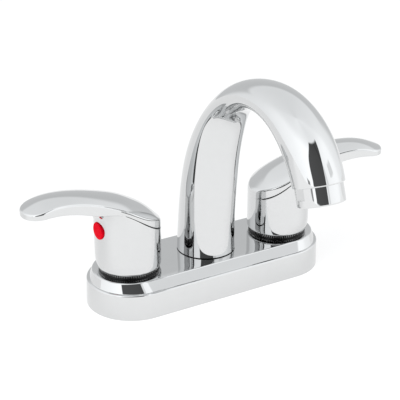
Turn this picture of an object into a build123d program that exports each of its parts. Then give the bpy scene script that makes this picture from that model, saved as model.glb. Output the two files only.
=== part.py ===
from build123d import *

import os
from math import cos, radians, sin, sqrt

os.makedirs("parts", exist_ok=True)

# Basin mixer tap on four inch centres. Millimetres.
# The deck is the plane Z = 0. The spout turns about the Z axis and points along -Y, towards
# the user. The hot handle stands at -X and the cold handle at +X.

# Names and sides of the two valves
sides = {"hot": -1, "cold": 1}
handle_spacing = 101.6
rest_turn = {"hot": 4.0, "cold": 20.0}

# Base cover: a hollow shell with a skirt, a ledge and a raised plateau
base_end_reach = 24.85
base_depth = 54.3
base_height = 20.9
skirt_height = 15.4
skirt_draft = 1.8
skirt_edge_radius = 0.9
ledge_width = 1.1
plateau_end_inset = 3.65
plateau_side_inset = 5.45
plateau_edge_radius = 0.9
cover_wall = 2.2
cover_hole_clearance = 0.3

# Gasket under the base
gasket_thickness = 2.4
gasket_clearance = 0.3

# Cast waterway inside the base
tower_radius = 13.4
neck_radius = 12.0
neck_top = 31.0
chamber_radius = 9.4
chamber_floor = 7.0
port_radius = 3.5
cross_tube_radius = 5.8
cross_tube_height = 12.0
passage_radius = 3.6
under_cover_gap = 0.2

# Spout socket of the casting, its gland nut and the tail that turns in it
socket_radius = 9.0
socket_floor = 5.0
socket_neck_top = 36.0
gland_radius = 10.6
gland_height = 5.6
gland_slot_width = 2.4
tail_clearance = 0.08
tail_bottom = 17.0
tail_neck_radius = 7.2
tail_bore_radius = 5.0
tail_seal_section = 0.75
tail_seal_heights = (20.4, 25.6)
groove_width = 2.2

# Inlet shanks, with the washers and nuts that clamp the deck
shank_radius = 10.4
shank_bottom = -48.0
shank_bore_radius = 5.5
spigot_radius = 7.5
spigot_length = 3.0
thread_relief_depth = 0.7
thread_relief_width = 1.5
deck_thickness = 20.0
washer_radius = 19.0
washer_thickness = 1.6
nut_height = 10.0
nut_hub_radius = 14.5
nut_flange_radius = 17.5
nut_flange_thickness = 2.5
nut_wing_count = 4
nut_wing_width = 4.0
nut_wing_reach = 21.0
thread_clearance = 0.1

# Quarter turn valve cartridge
seat_seal_thickness = 2.2
seat_seal_radius = 8.2
seat_seal_bore = 4.6
disc_radius = 7.35
disc_thickness = 2.5
disc_chamber_radius = 7.6
disc_chamber_top = 17.0
disc_port_radius = 5.6
disc_port_width = 6.0
housing_lower_radius = 8.4
housing_waist_height = 19.0
housing_radius = 9.25
housing_flange_radius = 11.4
housing_flange_thickness = 2.0
housing_hub_radius = 6.8
housing_top = 40.0
housing_window_width = 7.0
housing_window_height = 2.2
housing_seal_height = 24.0
housing_seal_section = 0.7
stem_radius = 4.0
stem_clearance = 0.08
stem_top = 52.0
stem_flat = 3.3
drive_bar_width = 4.6
drive_bar_thickness = 3.0
drive_slot_depth = 1.0
drive_slot_clearance = 0.1
stem_chamfer = 0.5
stem_seal_height = 30.0
stem_seal_section = 0.6

# Black toothed ring nut that clamps the cover and the cartridge
ring_radius = 17.7
ring_flange_height = 2.2
ring_hub_radius = 14.2
ring_lip_thickness = 1.8
ring_lip_bore = 8.0

# Handle: a round body under an arched lever
handle_rim_gap = 0.37
handle_radius = 18.4
handle_cavity_radius = 15.0
handle_cavity_top = 42.0
handle_pocket_top = 49.0
handle_boss_radius = 7.5
handle_web_width = 9.0
lever_reach = 63.4
lever_tip_length = 9.4
lever_tip_half_width = 10.6
lever_crown_radius = 29.0
lever_top_edge_radius = 1.5
lever_bottom_edge_radius = 0.5
handle_overlap = 1.2
handle_seam_gap = 0.2
handle_seam_depth = 0.6
throat_start = 3.0
throat_bottom = 55.5
throat_radius = 10.0
throat_turn = 65.0
lever_wall_start = 100.0

# Shape of the lever. Places along it are shares: of the handle's radius behind its axis (below 0), and of
# the lever's reach in front of it. The waist gives half widths there, the crest and underside heights.
lever_waist = ((0.126, 17.2), (0.284, 14.7), (0.536, 12.0))
lever_crest = ((-1.087, 47.2), (-0.598, 57.0), (-0.163, 62.5), (0.079, 66.6), (0.205, 69.5), (0.379, 72.6),
               (0.631, 75.2), (0.852, 74.2), (1.025, 70.2))
lever_underside = ((-1.087, 42.0), (-0.5, 48.7), (0.044, 57.0), (0.197, 61.4), (0.379, 63.2), (0.568, 66.4),
                   (0.789, 68.2), (1.041, 67.2))

# Index button and set screw on the outer side of each handle
button_radius = 5.0
button_height = 48.2
button_proud = 1.2
button_thickness = 3.0
button_peg_radius = 2.3
button_peg_length = 3.0
button_edge_radius = 0.5
button_clearance = 0.1
screw_radius = 2.4
screw_length = 7.0
screw_hex_flats = 2.5
screw_hex_depth = 3.0

# Spout: a bent tube, round at its ends and oval over its arch
seat_ring_thickness = 0.5
seat_ring_radius = 16.7
spout_arcs = ((266.3, 9.6), (110.5, 18.0), (64.2, 27.4), (46.6, 105.2))
spout_width = (17.2, 17.2, 17.0, 16.3, 15.3, 14.2, 13.3, 12.8, 12.8, 13.2, 13.0)
spout_depth = (17.2, 15.9, 14.7, 13.2, 11.7, 10.2, 9.1, 8.7, 9.2, 10.9, 13.0)
spout_wall = 3.0
spout_floor_height = 38.0
spout_floor_thickness = 4.0
spout_end_radius = 0.7

# Aerator in the end of the spout
aerator_radius = 12.0
aerator_height = 9.5
aerator_thread_radius = 10.9
aerator_thread_length = 6.0
aerator_bore_radius = 9.6
aerator_lip = 0.9
aerator_washer_thickness = 1.6
aerator_washer_bore = 7.5
insert_length = 9.0
insert_hole_radius = 1.0
insert_hole_circles = (3.2, 6.6)
insert_hole_counts = (6, 12)
screen_thickness = 1.6
screen_hole_radius = 1.0
screen_pitch = 2.7
screen_rows = 5
aerator_edge_radius = 0.8
aerator_flats = 23.1
aerator_flat_height = 5.7

# Heights and radii that follow from the sizes above
handle_offset = handle_spacing / 2
base_length = handle_spacing + 2 * base_end_reach
plateau_length = base_length - 2 * plateau_end_inset
plateau_depth = base_depth - 2 * plateau_side_inset
cover_inside = base_height - cover_wall
tower_top = cover_inside - under_cover_gap
spout_base = base_height + seat_ring_thickness
seat_top = chamber_floor + seat_seal_thickness
fixed_disc_top = seat_top + disc_thickness
moving_disc_top = fixed_disc_top + disc_thickness
tail_radius = socket_radius - tail_clearance
gland_bottom = socket_neck_top - gland_height
ring_top = base_height + ring_flange_height
handle_rim_height = ring_top + handle_rim_gap
housing_flange_top = neck_top + housing_flange_thickness
washer_top = -deck_thickness
nut_top = washer_top - washer_thickness
button_back = handle_radius + button_proud - button_thickness


def write(part, name):
    part.label = name
    export_step(part, f"parts/{name}.step")


def handle_planes(name):
    """The level plane and the outward direction of one handle at rest."""
    side = sides[name]
    turn = radians(rest_turn[name])
    centre = Vector(side * handle_offset, 0, 0)
    outward = Vector(side * cos(turn), -sin(turn), 0)
    return centre, outward


def valve_plane(name, height=0.0):
    """A level plane on the axis of one valve."""
    return Plane(origin=(sides[name] * handle_offset, 0, height), x_dir=(1, 0, 0), z_dir=(0, 0, 1))


def button_plane(name, reach=0.0):
    """An upright plane across the outward direction of one handle, at the button's height."""
    centre, outward = handle_planes(name)
    return Plane(
        origin=centre + outward * reach + Vector(0, 0, button_height),
        x_dir=(-outward.Y, outward.X, 0),
        z_dir=outward,
    )


def along_lever(table):
    """The points of one of the lever's tables, with the shares turned into distances from the axis."""
    return [(share * (handle_radius if share < 0 else lever_reach), value) for share, value in table]


def crown_drop(half_width):
    """How far the crowned top of the lever falls at a distance from its middle."""
    return lever_crown_radius - sqrt(lever_crown_radius**2 - half_width**2)


# Base cover
with BuildPart() as base_cover:
    with BuildSketch(Plane.XY):
        SlotOverall(base_length, base_depth)
    extrude(amount=skirt_height, taper=skirt_draft)
    fillet(base_cover.faces().sort_by(Axis.Z)[-1].edges(), radius=skirt_edge_radius)
    skirt_top_inset = 2 * (ledge_width + skirt_edge_radius)
    with BuildSketch(Plane.XY.offset(skirt_height)):
        SlotOverall(base_length - skirt_top_inset, base_depth - skirt_top_inset)
    with BuildSketch(Plane.XY.offset(base_height)):
        SlotOverall(plateau_length, plateau_depth)
    loft(ruled=True)
    fillet(base_cover.faces().sort_by(Axis.Z)[-1].edges(), radius=plateau_edge_radius)
    with BuildSketch(Plane.XY):
        SlotOverall(base_length - 2 * cover_wall, base_depth - 2 * cover_wall)
    extrude(amount=skirt_height - cover_wall, taper=skirt_draft, mode=Mode.SUBTRACT)
    shoulder_inset = skirt_top_inset + 2 * cover_wall
    with BuildSketch(Plane.XY.offset(skirt_height - cover_wall)):
        SlotOverall(base_length - shoulder_inset, base_depth - shoulder_inset)
    with BuildSketch(Plane.XY.offset(cover_inside)):
        SlotOverall(plateau_length - 2 * cover_wall, plateau_depth - 2 * cover_wall)
    loft(ruled=True, mode=Mode.SUBTRACT)
    with Locations((0, 0, base_height)):
        with GridLocations(handle_offset, 0, 3, 1):
            Hole(radius=neck_radius + cover_hole_clearance)
write(base_cover.part, "base_cover")

# Gasket that lies inside the rim of the cover
with BuildPart() as base_gasket:
    with BuildSketch(Plane.XY):
        gasket_inset = 2 * (cover_wall + gasket_clearance + gasket_thickness * sin(radians(skirt_draft)))
        SlotOverall(base_length - gasket_inset, base_depth - gasket_inset)
        with GridLocations(handle_spacing, 0, 2, 1):
            Circle(shank_radius + gasket_clearance, mode=Mode.SUBTRACT)
    extrude(amount=gasket_thickness)
write(base_gasket.part, "base_gasket")

# Cast waterway: two valve towers, a cross tube and the spout socket in one piece
with BuildPart() as waterway_body:
    with BuildSketch(Plane.XY.offset(gasket_thickness)):
        with GridLocations(handle_offset, 0, 3, 1):
            Circle(tower_radius)
    extrude(amount=tower_top - gasket_thickness)
    with BuildSketch(Plane.XY.offset(tower_top)):
        with GridLocations(handle_spacing, 0, 2, 1):
            Circle(neck_radius)
    extrude(amount=neck_top - tower_top)
    with BuildSketch(Plane.XY.offset(tower_top)):
        Circle(neck_radius)
    extrude(amount=socket_neck_top - tower_top)
    with BuildSketch(Plane.YZ.offset(-handle_offset)):
        with Locations((0, cross_tube_height)):
            Circle(cross_tube_radius)
    extrude(amount=handle_spacing)
    with BuildSketch(Plane.YZ.offset(-handle_offset)):
        with Locations((0, cross_tube_height)):
            Circle(passage_radius)
    extrude(amount=handle_spacing, mode=Mode.SUBTRACT)
    with BuildSketch(Plane.XY.offset(chamber_floor)):
        with GridLocations(handle_spacing, 0, 2, 1):
            Circle(chamber_radius)
    extrude(amount=neck_top - chamber_floor, mode=Mode.SUBTRACT)
    with BuildSketch(Plane.XY.offset(gasket_thickness)):
        with GridLocations(handle_spacing, 0, 2, 1):
            Circle(port_radius)
    extrude(amount=chamber_floor - gasket_thickness, mode=Mode.SUBTRACT)
    with BuildSketch(Plane.XY.offset(gasket_thickness)):
        with GridLocations(handle_spacing, 0, 2, 1):
            Circle(spigot_radius + thread_clearance)
    extrude(amount=spigot_length + thread_clearance, mode=Mode.SUBTRACT)
    with BuildSketch(Plane.XY.offset(socket_floor)):
        Circle(socket_radius)
    extrude(amount=socket_neck_top - socket_floor, mode=Mode.SUBTRACT)
    with BuildSketch(Plane.XY.offset(gland_bottom)):
        Circle(gland_radius)
    extrude(amount=gland_height, mode=Mode.SUBTRACT)
write(waterway_body.part, "waterway_body")

# Gland nut that keeps the spout tail in its socket
with BuildPart() as gland_nut:
    with BuildSketch(Plane.XY.offset(gland_bottom)):
        Circle(gland_radius - thread_clearance)
        Circle(tail_neck_radius + tail_clearance, mode=Mode.SUBTRACT)
    extrude(amount=gland_height - 2 * thread_clearance)
    with BuildSketch(Plane.XY.offset(socket_neck_top)):
        Rectangle(2 * gland_radius, gland_slot_width)
    extrude(amount=-gland_height / 2, mode=Mode.SUBTRACT)
write(gland_nut.part, "gland_nut")

# Dark bearing ring between the plateau and the spout
with BuildPart() as spout_seat_ring:
    with BuildSketch(Plane.XY.offset(base_height)):
        Circle(seat_ring_radius)
        Circle(spout_width[0] - spout_wall, mode=Mode.SUBTRACT)
    extrude(amount=seat_ring_thickness)
write(spout_seat_ring.part, "spout_seat_ring")


def inlet_shank(name):
    """Threaded brass tube below one valve, open all the way through."""
    with BuildPart() as shank:
        with BuildSketch(valve_plane(name, shank_bottom)):
            Circle(shank_radius)
        extrude(amount=gasket_thickness - shank_bottom)
        chamfer(shank.faces().sort_by(Axis.Z)[0].edges(), length=thread_relief_depth)
        with BuildSketch(valve_plane(name, gasket_thickness)):
            Circle(spigot_radius)
        extrude(amount=spigot_length)
        relief_top = nut_top - nut_height - thread_relief_width
        with BuildSketch(valve_plane(name, relief_top)):
            Circle(shank_radius)
            Circle(shank_radius - thread_relief_depth, mode=Mode.SUBTRACT)
        extrude(amount=-thread_relief_width, mode=Mode.SUBTRACT)
        with BuildSketch(valve_plane(name, shank_bottom)):
            Circle(shank_bore_radius)
        extrude(amount=gasket_thickness + spigot_length - shank_bottom, mode=Mode.SUBTRACT)
    return shank.part


def mounting_washer(name):
    """Flat washer against the underside of the deck."""
    with BuildPart() as washer:
        with BuildSketch(valve_plane(name, washer_top)):
            Circle(washer_radius)
            Circle(shank_radius + gasket_clearance, mode=Mode.SUBTRACT)
        extrude(amount=-washer_thickness)
    return washer.part


def mounting_nut(name):
    """Moulded nut with a flange and four finger wings."""
    with BuildPart() as nut:
        with BuildSketch(valve_plane(name, nut_top)):
            Circle(nut_hub_radius)
            with PolarLocations((nut_hub_radius + nut_wing_reach) / 2, nut_wing_count):
                Rectangle(nut_wing_reach - nut_hub_radius + nut_wing_width / 2, nut_wing_width)
        extrude(amount=-nut_height)
        with BuildSketch(valve_plane(name, nut_top)):
            Circle(nut_flange_radius)
        extrude(amount=-nut_flange_thickness)
        with BuildSketch(valve_plane(name, nut_top)):
            Circle(shank_radius + thread_clearance)
        extrude(amount=-nut_height, mode=Mode.SUBTRACT)
    return nut.part


def seat_seal(name):
    """Rubber seat under the fixed disc."""
    with BuildPart() as seal:
        with BuildSketch(valve_plane(name, chamber_floor)):
            Circle(seat_seal_radius)
            Circle(seat_seal_bore, mode=Mode.SUBTRACT)
        extrude(amount=seat_seal_thickness)
    return seal.part


def ceramic_disc(plane, slot_depth):
    """Ceramic disc with two ports along its X direction and a drive slot across them."""
    with BuildSketch() as ports:
        Circle(disc_port_radius)
        Rectangle(2 * disc_port_radius, disc_port_width, mode=Mode.INTERSECT)
        Rectangle(drive_bar_width + 2 * drive_slot_clearance, disc_port_width, mode=Mode.SUBTRACT)
    with BuildPart() as disc:
        with BuildSketch(plane):
            Circle(disc_radius)
            add(ports.sketch, mode=Mode.SUBTRACT)
        extrude(amount=disc_thickness)
        if slot_depth:
            with BuildSketch(plane.offset(disc_thickness)):
                Rectangle(drive_bar_width + 2 * drive_slot_clearance, 2 * disc_radius)
            extrude(amount=-slot_depth, mode=Mode.SUBTRACT)
    return disc.part


def fixed_disc(name):
    """Lower disc: its ports lie across the base, front and back of the stem."""
    return ceramic_disc(Plane(origin=valve_plane(name, seat_top).origin, x_dir=(0, 1, 0), z_dir=(0, 0, 1)), 0)


def moving_disc(name):
    """Upper disc: its ports follow the lever, so they are shut off when the lever points outwards."""
    centre, outward = handle_planes(name)
    level = Plane(origin=centre, x_dir=outward, z_dir=(0, 0, 1))
    return ceramic_disc(level.offset(fixed_disc_top), drive_slot_depth)


def cartridge_housing(name):
    """Turned housing that holds the discs and guides the stem."""
    with BuildPart() as housing:
        with BuildSketch(valve_plane(name, seat_top)):
            Circle(housing_lower_radius)
        extrude(amount=housing_waist_height - seat_top)
        with BuildSketch(valve_plane(name, housing_waist_height)):
            Circle(housing_radius)
        extrude(amount=neck_top - housing_waist_height)
        with BuildSketch(valve_plane(name, neck_top)):
            Circle(housing_flange_radius)
        extrude(amount=housing_flange_thickness)
        with BuildSketch(valve_plane(name, housing_flange_top)):
            Circle(housing_hub_radius)
        extrude(amount=housing_top - housing_flange_top)
        with BuildSketch(valve_plane(name, seat_top)):
            Circle(disc_chamber_radius)
        extrude(amount=disc_chamber_top - seat_top, mode=Mode.SUBTRACT)
        with BuildSketch(valve_plane(name, disc_chamber_top)):
            Circle(stem_radius + stem_clearance)
        extrude(amount=housing_top - disc_chamber_top, mode=Mode.SUBTRACT)
        with BuildSketch(valve_plane(name, moving_disc_top)):
            Rectangle(3 * housing_radius, housing_window_width)
        extrude(amount=housing_window_height, mode=Mode.SUBTRACT)
        groove = 2 * housing_seal_section
        with BuildSketch(valve_plane(name, housing_seal_height - groove / 2 - stem_clearance)):
            Circle(housing_radius)
            Circle(housing_radius - groove, mode=Mode.SUBTRACT)
        extrude(amount=groove + 2 * stem_clearance, mode=Mode.SUBTRACT)
    return housing.part


def o_ring(plane, outer_radius, section):
    """Round rubber ring whose outside has the given radius."""
    with BuildPart() as ring:
        upright = Plane(origin=plane.origin, x_dir=plane.x_dir, z_dir=plane.y_dir)
        with BuildSketch(upright):
            with Locations((outer_radius - section, 0)):
                Circle(section)
        revolve(axis=Axis(plane.origin, plane.z_dir))
    return ring.part


def valve_stem(name):
    """Brass stem with a drive bar below and a flat for the set screw above."""
    centre, outward = handle_planes(name)
    level = Plane(origin=centre, x_dir=outward, z_dir=(0, 0, 1))
    with BuildPart() as stem:
        with BuildSketch(level.offset(moving_disc_top - drive_slot_depth)):
            Rectangle(drive_bar_width, 2 * disc_radius)
            Circle(disc_radius, mode=Mode.INTERSECT)
        extrude(amount=drive_bar_thickness)
        with BuildSketch(level.offset(moving_disc_top)):
            Circle(stem_radius)
        extrude(amount=stem_top - moving_disc_top)
        chamfer(stem.faces().sort_by(Axis.Z)[-1].edges(), length=stem_chamfer)
        with BuildSketch(level.offset(handle_cavity_top)):
            with Locations((stem_flat + stem_radius / 2, 0)):
                Rectangle(stem_radius, 2 * stem_radius)
        extrude(amount=stem_top - handle_cavity_top, mode=Mode.SUBTRACT)
        with BuildSketch(level.offset(stem_seal_height - stem_seal_section - stem_clearance)):
            Circle(stem_radius)
            Circle(stem_radius - 2 * stem_seal_section, mode=Mode.SUBTRACT)
        extrude(amount=2 * (stem_seal_section + stem_clearance), mode=Mode.SUBTRACT)
    return stem.part


def toothed_ring(name):
    """Black ring nut: its flange shows between the plateau and the handle."""
    with BuildPart() as ring:
        with BuildSketch(valve_plane(name, base_height)):
            Circle(ring_radius)
        extrude(amount=ring_flange_height)
        with BuildSketch(valve_plane(name, ring_top)):
            Circle(ring_hub_radius)
        extrude(amount=housing_flange_top + ring_lip_thickness - ring_top)
        with BuildSketch(valve_plane(name, base_height)):
            Circle(neck_radius + thread_clearance / 2)
        extrude(amount=housing_flange_top - base_height, mode=Mode.SUBTRACT)
        with BuildSketch(valve_plane(name, housing_flange_top)):
            Circle(ring_lip_bore)
        extrude(amount=ring_lip_thickness, mode=Mode.SUBTRACT)
    return ring.part


def below_seam(side_plane, lift):
    """A block wider than the handle, whose top follows the lever's underside at a distance."""
    with BuildPart() as block:
        with BuildSketch(side_plane):
            with BuildLine():
                seam = Spline(*[(reach, height + lift) for reach, height in along_lever(lever_underside)])
                Polyline(seam @ 1, ((seam @ 1).X, 0), ((seam @ 0).X, 0), seam @ 0)
            make_face()
        extrude(amount=handle_radius * 4)
    return block.part


def under_crest(centre, outward):
    """A block whose top is the lever's crowned crest."""
    across = Vector(-outward.Y, outward.X, 0)
    half = handle_radius + 2 * lever_top_edge_radius
    with BuildPart() as block:
        for reach, height in along_lever(lever_crest):
            with BuildSketch(Plane(origin=centre + outward * reach, x_dir=across, z_dir=outward)):
                with BuildLine():
                    edge_height = height - crown_drop(half)
                    ThreePointArc((-half, edge_height), (0, height), (half, edge_height))
                    Polyline((half, edge_height), (half, 0), (-half, 0), (-half, edge_height))
                make_face()
        loft()
    return block.part


def lever_prism(level):
    """The lever's outline seen from above, drawn straight up."""
    start = radians(lever_wall_start)
    first = (handle_radius * cos(start), handle_radius * sin(start))
    shoulder = (lever_reach - lever_tip_length, lever_tip_half_width)
    nose = (shoulder[0] + lever_tip_length * sqrt(0.5), lever_tip_half_width * sqrt(0.5))
    with BuildPart() as prism:
        with BuildSketch(level):
            with BuildLine():
                waist = along_lever(lever_waist)
                flank = Spline(first, *waist, shoulder, tangents=[(sin(start), -cos(start)), (1, 0)])
                tip = Spline(shoulder, nose, (lever_reach, 0), tangents=[(1, 0), (0, -1)])
                mirror(flank, about=Plane.XZ)
                mirror(tip, about=Plane.XZ)
                ThreePointArc(first, (-handle_radius, 0), (first[0], -first[1]))
            make_face()
        extrude(amount=2 * lever_reach)
    return prism.part


def handle_body(level, side_plane, radius, lift):
    """Round body that ends a little below or above the lever's underside."""
    with BuildPart() as body:
        with BuildSketch(level.offset(handle_rim_height)):
            Circle(radius)
        extrude(amount=lever_reach)
        add(below_seam(side_plane, lift), mode=Mode.INTERSECT)
    return body.part


def handle_throat(centre, outward, across):
    """Trumpet that carries the front of the body over into the lever's underside."""
    with BuildPart() as throat:
        with BuildSketch(Plane(origin=centre, x_dir=outward, z_dir=-across)):
            with BuildLine():
                foot = (handle_radius, throat_bottom)
                flare = JernArc(start=foot, tangent=(0, 1), radius=throat_radius, arc_size=-throat_turn)
                Polyline(flare @ 1, (0, (flare @ 1).Y), (0, throat_bottom), foot)
            make_face()
        revolve(axis=Axis(centre, (0, 0, 1)))
    return throat.part


def handle(name):
    """Handle casting: round body, arched lever, cavity, stem boss and screw channel."""
    centre, outward = handle_planes(name)
    across = Vector(-outward.Y, outward.X, 0)
    level = Plane(origin=centre, x_dir=outward, z_dir=(0, 0, 1))
    side_plane = Plane(origin=centre + across * handle_radius * 2, x_dir=outward, z_dir=-across)
    outline = lever_prism(level)
    with BuildPart() as lever:
        add(outline)
        add(below_seam(side_plane, 0), mode=Mode.SUBTRACT)
        add(under_crest(centre, outward), mode=Mode.INTERSECT)
        crown = lever.faces().filter_by(lambda face: face.normal_at().Z > 0.3)
        fillet(crown.edges(), radius=lever_top_edge_radius)
        sole = lever.faces().filter_by(lambda face: face.normal_at().Z < -0.3)
        fillet(sole.edges(), radius=lever_bottom_edge_radius)
    with BuildPart() as throat:
        add(handle_throat(centre, outward, across))
        add(outline, mode=Mode.INTERSECT)
        add(below_seam(side_plane, handle_overlap), mode=Mode.INTERSECT)
        with BuildSketch(level):
            with Locations((throat_start + lever_reach / 2, 0)):
                Rectangle(lever_reach, 4 * handle_radius)
        extrude(amount=2 * lever_reach, mode=Mode.INTERSECT)
    with BuildPart() as casting:
        add(handle_body(level, side_plane, handle_radius, -handle_seam_gap))
        add(handle_body(level, side_plane, handle_radius - handle_seam_depth, handle_overlap))
        add(throat.part)
        add(lever.part)
        with BuildSketch(level.offset(handle_rim_height)):
            Circle(handle_cavity_radius)
        extrude(amount=handle_cavity_top - handle_rim_height, mode=Mode.SUBTRACT)
        with BuildSketch(level.offset(handle_cavity_top)):
            Circle(handle_cavity_radius)
            Circle(handle_boss_radius, mode=Mode.SUBTRACT)
            with Locations((handle_radius / 2, 0)):
                Rectangle(handle_radius, handle_web_width, mode=Mode.SUBTRACT)
        extrude(amount=handle_pocket_top - handle_cavity_top, mode=Mode.SUBTRACT)
        with BuildSketch(level.offset(handle_cavity_top)):
            Circle(stem_radius + thread_clearance)
        extrude(amount=stem_top + thread_clearance - handle_cavity_top, mode=Mode.SUBTRACT)
        with BuildSketch(button_plane(name, stem_flat)):
            Circle(screw_radius + thread_clearance)
        extrude(amount=handle_radius, mode=Mode.SUBTRACT)
        with BuildSketch(button_plane(name, button_back)):
            Circle(button_radius + button_clearance)
        extrude(amount=handle_radius, mode=Mode.SUBTRACT)
    return casting.part


def index_button(name):
    """Coloured button that plugs the set screw's hole."""
    face_plane = button_plane(name, button_back)
    with BuildPart() as button:
        with BuildSketch(face_plane):
            Circle(button_radius)
        extrude(amount=button_thickness)
        fillet(button.edges().sort_by(Axis(face_plane.origin, face_plane.z_dir))[-1], radius=button_edge_radius)
        with BuildSketch(face_plane):
            Circle(button_peg_radius)
        extrude(amount=-button_peg_length)
    return button.part


def set_screw(name):
    """Grub screw that bears on the flat of the stem."""
    with BuildPart() as screw:
        with BuildSketch(button_plane(name, stem_flat)):
            Circle(screw_radius)
        extrude(amount=screw_length)
        with BuildSketch(button_plane(name, stem_flat + screw_length)):
            RegularPolygon(radius=screw_hex_flats / 2, side_count=6, major_radius=False)
        extrude(amount=-screw_hex_depth, mode=Mode.SUBTRACT)
    return screw.part


for name in sides:
    write(inlet_shank(name), f"inlet_shank_{name}")
    write(mounting_washer(name), f"mounting_washer_{name}")
    write(mounting_nut(name), f"mounting_nut_{name}")
    write(seat_seal(name), f"seat_seal_{name}")
    write(fixed_disc(name), f"fixed_disc_{name}")
    write(moving_disc(name), f"moving_disc_{name}")
    write(cartridge_housing(name), f"cartridge_housing_{name}")
    seal_plane = valve_plane(name, housing_seal_height)
    write(o_ring(seal_plane, chamber_radius, housing_seal_section), f"cartridge_seal_{name}")
    write(valve_stem(name), f"valve_stem_{name}")
    stem_seal_plane = valve_plane(name, stem_seal_height)
    write(o_ring(stem_seal_plane, stem_radius + stem_clearance / 2, stem_seal_section), f"stem_seal_{name}")
    write(toothed_ring(name), f"toothed_ring_{name}")
    write(handle(name), f"handle_{name}")
    write(index_button(name), f"index_button_{name}")
    write(set_screw(name), f"set_screw_{name}")

# Middle line of the spout: arcs that tighten from the base to the arch
with BuildLine(Plane.YZ) as spout_line:
    corner = Vector(0, 0, spout_base)
    heading = Vector(0, 0, 1)
    for arc_radius, turn in spout_arcs:
        bend = JernArc(start=corner, tangent=heading, radius=arc_radius, arc_size=turn)
        corner = bend @ 1
        heading = bend % 1
spout_path = spout_line.wire()


def spout_section(step):
    """The plane of one of the evenly spaced sections along the middle line."""
    place = step / (len(spout_width) - 1)
    return Plane(origin=spout_path @ place, x_dir=(1, 0, 0), z_dir=spout_path % place)


spout_end = spout_section(len(spout_width) - 1)

# Spout: oval sections along the middle line, hollow, with a floor that carries the tail
with BuildPart() as spout:
    for step, (half_width, half_depth) in enumerate(zip(spout_width, spout_depth)):
        with BuildSketch(spout_section(step)):
            Ellipse(half_width, half_depth)
    loft()
    for step, (half_width, half_depth) in enumerate(zip(spout_width, spout_depth)):
        with BuildSketch(spout_section(step)):
            Ellipse(half_width - spout_wall, half_depth - spout_wall)
    loft(mode=Mode.SUBTRACT)
    with BuildSketch(Plane.XY.offset(spout_floor_height)):
        Circle(spout_width[1] - spout_wall / 2)
        Circle(tail_neck_radius + thread_clearance, mode=Mode.SUBTRACT)
    extrude(amount=spout_floor_thickness)
    with BuildSketch(spout_end):
        Circle(aerator_thread_radius + thread_clearance)
    extrude(amount=-aerator_thread_length - aerator_washer_thickness, mode=Mode.SUBTRACT)
    end_face = spout.faces().sort_by(Axis(spout_end.origin, spout_end.z_dir))[-1]
    fillet(end_face.edges().sort_by(SortBy.LENGTH)[-1], radius=spout_end_radius)
write(spout.part, "spout")

# Tail of the spout: turns in the socket on two seals
with BuildPart() as spout_tail:
    with BuildSketch(Plane.XY.offset(tail_bottom)):
        Circle(tail_radius)
    extrude(amount=gland_bottom - tail_clearance - tail_bottom)
    with BuildSketch(Plane.XY.offset(tail_bottom)):
        Circle(tail_neck_radius)
    extrude(amount=spout_floor_height + spout_floor_thickness - tail_bottom)
    for height in tail_seal_heights:
        with BuildSketch(Plane.XY.offset(height - groove_width / 2)):
            Circle(tail_radius)
            Circle(socket_radius - 2 * tail_seal_section - tail_clearance, mode=Mode.SUBTRACT)
        extrude(amount=groove_width, mode=Mode.SUBTRACT)
    with BuildSketch(Plane.XY.offset(tail_bottom)):
        Circle(tail_bore_radius)
    extrude(amount=spout_floor_height + spout_floor_thickness - tail_bottom, mode=Mode.SUBTRACT)
write(spout_tail.part, "spout_tail")

for position, height in zip(("lower", "upper"), tail_seal_heights):
    seal = o_ring(Plane.XY.offset(height), socket_radius - tail_clearance / 2, tail_seal_section)
    write(seal, f"tail_seal_{position}")

# Aerator housing: a ring below the spout with a thread inside it
with BuildPart() as aerator_housing:
    with BuildSketch(spout_end):
        Circle(aerator_radius)
    extrude(amount=aerator_height)
    aerator_mouth = aerator_housing.faces().sort_by(Axis(spout_end.origin, spout_end.z_dir))[-1]
    fillet(aerator_mouth.edges(), radius=aerator_edge_radius)
    with BuildSketch(spout_end):
        Rectangle(4 * aerator_radius, 4 * aerator_radius)
        Rectangle(aerator_flats, 4 * aerator_radius, mode=Mode.SUBTRACT)
    extrude(amount=aerator_flat_height, mode=Mode.SUBTRACT)
    with BuildSketch(spout_end):
        Circle(aerator_thread_radius)
    extrude(amount=-aerator_thread_length)
    with BuildSketch(spout_end.offset(-aerator_thread_length)):
        Circle(aerator_bore_radius)
    extrude(amount=aerator_thread_length + aerator_height - aerator_lip, mode=Mode.SUBTRACT)
    with BuildSketch(spout_end.offset(aerator_height)):
        Circle(aerator_bore_radius - aerator_lip)
    extrude(amount=-aerator_lip, mode=Mode.SUBTRACT)
write(aerator_housing.part, "aerator_housing")

# Rubber washer between the aerator and the shoulder in the spout
with BuildPart() as aerator_washer:
    with BuildSketch(spout_end.offset(-aerator_thread_length)):
        Circle(aerator_thread_radius)
        Circle(aerator_washer_bore, mode=Mode.SUBTRACT)
    extrude(amount=-aerator_washer_thickness)
write(aerator_washer.part, "aerator_washer")

# Moulded flow straightener with a ring of holes
screen_bottom = aerator_height - aerator_lip
with BuildPart() as aerator_insert:
    with BuildSketch(spout_end.offset(-aerator_thread_length)):
        Circle(aerator_bore_radius - thread_clearance)
        for hole_circle, hole_count in zip(insert_hole_circles, insert_hole_counts):
            with PolarLocations(hole_circle, hole_count):
                Circle(insert_hole_radius, mode=Mode.SUBTRACT)
    extrude(amount=insert_length)
write(aerator_insert.part, "aerator_insert")

# Outlet screen that sits on the lip of the aerator
with BuildPart() as aerator_screen:
    with BuildSketch(spout_end.offset(screen_bottom - screen_thickness)):
        Circle(aerator_bore_radius - thread_clearance)
        with HexLocations(screen_pitch / 2, screen_rows, screen_rows):
            Circle(screen_hole_radius, mode=Mode.SUBTRACT)
    extrude(amount=screen_thickness)
write(aerator_screen.part, "aerator_screen")
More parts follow.
